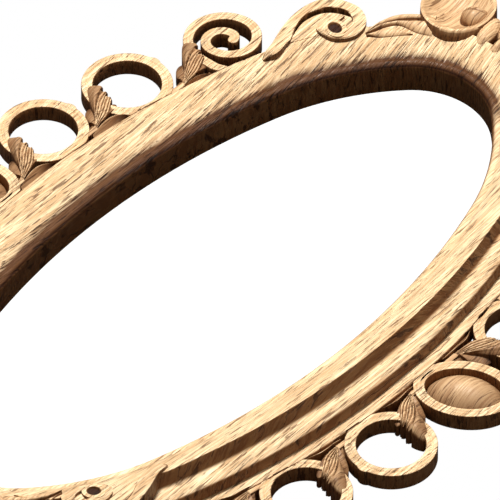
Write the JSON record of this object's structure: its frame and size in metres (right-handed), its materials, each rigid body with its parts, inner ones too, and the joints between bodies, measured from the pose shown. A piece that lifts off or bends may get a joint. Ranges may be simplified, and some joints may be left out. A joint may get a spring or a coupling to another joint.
{
  "type": "oval picture frame",
  "caption": "Oval carved wooden picture frame with a deep moulding, pierced ring and scroll ornament, carved crests, glazed opening and blank insert.",
  "frame": {"origin": "centre of the oval on the back plane of the frame", "axes": "+X across the short way of the oval, +Y along the long way towards the crest, +Z out of the back towards the viewer"},
  "size_m": [0.5024, 0.7576, 0.0565],
  "materials": {
    "carved_wood": "satin",
    "joint_wood": "matte",
    "backing": "matte",
    "blank_sheet": "matte",
    "glass": "gloss",
    "turn_buttons": "satin",
    "hangers": "satin",
    "screws": "satin"
  },
  "bodies": {
    "frame": {"backing_board": "backing", "blank_sheet": "blank_sheet", "c_scroll_bottom_left": "carved_wood", "c_scroll_bottom_right": "carved_wood", "c_scroll_top_left": "carved_wood", "c_scroll_top_right": "carved_wood", "cabochon_dome_left": "carved_wood", "cabochon_dome_right": "carved_wood", "cabochon_ring_left": "carved_wood", "cabochon_ring_right": "carved_wood", "crest_fingers_bottom": "carved_wood", "crest_fingers_top": "carved_wood", "crest_leaf_bottom_left": "carved_wood", "crest_leaf_bottom_right": "carved_wood", "crest_leaf_top_left": "carved_wood", "crest_leaf_top_right": "carved_wood", "crest_scoop_bottom_left": "carved_wood", "crest_scoop_bottom_right": "carved_wood", "crest_scoop_top_left": "carved_wood", "crest_scoop_top_right": "carved_wood", "glass": "glass", "hanger_screws": "screws", "hanger_straps": "hangers", "joint_splines": "joint_wood", "moulding_end_bottom": "carved_wood", "moulding_end_top": "carved_wood", "moulding_shoulder_bottom_left": "carved_wood", "moulding_shoulder_bottom_right": "carved_wood", "moulding_shoulder_top_left": "carved_wood", "moulding_shoulder_top_right": "carved_wood", "moulding_side_left": "carved_wood", "moulding_side_right": "carved_wood", "ornament_dowels": "joint_wood", "ring_high_bottom_left": "carved_wood", "ring_high_bottom_right": "carved_wood", "ring_high_top_left": "carved_wood", "ring_high_top_right": "carved_wood", "ring_leaf_high_bottom_left": "carved_wood", "ring_leaf_high_bottom_right": "carved_wood", "ring_leaf_high_top_left": "carved_wood", "ring_leaf_high_top_right": "carved_wood", "ring_leaf_low_bottom_right": "carved_wood", "ring_leaf_low_top_left": "carved_wood", "ring_low_bottom_right": "carved_wood", "ring_low_top_left": "carved_wood", "s_scroll_bottom_left": "carved_wood", "s_scroll_bottom_right": "carved_wood", "s_scroll_top_left": "carved_wood", "s_scroll_top_right": "carved_wood", "scroll_leaf_bottom_left": "carved_wood", "scroll_leaf_bottom_right": "carved_wood", "scroll_leaf_top_left": "carved_wood", "scroll_leaf_top_right": "carved_wood", "turn_button_screws": "screws"},
    "turn_button_top_left": {"turn_button_top_left": "turn_buttons"},
    "turn_button_top_right": {"turn_button_top_right": "turn_buttons"},
    "turn_button_bottom_left": {"turn_button_bottom_left": "turn_buttons"},
    "turn_button_bottom_right": {"turn_button_bottom_right": "turn_buttons"},
    "hanger_ring_left": {"hanger_ring_left": "hangers"},
    "hanger_ring_right": {"hanger_ring_right": "hangers"}
  },
  "joints": [
    {"name": "turn_button_top_right_swing", "type": "hinge", "parent": "frame", "child": "turn_button_top_right", "pos_m": [0.08791, 0.23728, 0.004], "axis": [0, 0, 1], "range_deg": [0, 90]},
    {"name": "turn_button_top_left_swing", "type": "hinge", "parent": "frame", "child": "turn_button_top_left", "pos_m": [-0.08791, 0.23728, 0.004], "axis": [0, 0, 1], "range_deg": [0, 90]},
    {"name": "turn_button_bottom_left_swing", "type": "hinge", "parent": "frame", "child": "turn_button_bottom_left", "pos_m": [-0.08791, -0.23728, 0.004], "axis": [0, 0, 1], "range_deg": [0, 90]},
    {"name": "turn_button_bottom_right_swing", "type": "hinge", "parent": "frame", "child": "turn_button_bottom_right", "pos_m": [0.08791, -0.23728, 0.004], "axis": [0, 0, 1], "range_deg": [0, 90]},
    {"name": "hanger_ring_right_swing", "type": "hinge", "parent": "frame", "child": "hanger_ring_right", "pos_m": [0.15095, 0.10097, 0.0025], "axis": [-0.9877, -0.1564, 0], "range_deg": [0, 180]},
    {"name": "hanger_ring_left_swing", "type": "hinge", "parent": "frame", "child": "hanger_ring_left", "pos_m": [-0.15095, 0.10097, 0.0025], "axis": [-0.9877, 0.1564, 0], "range_deg": [0, 180]}
  ]
}
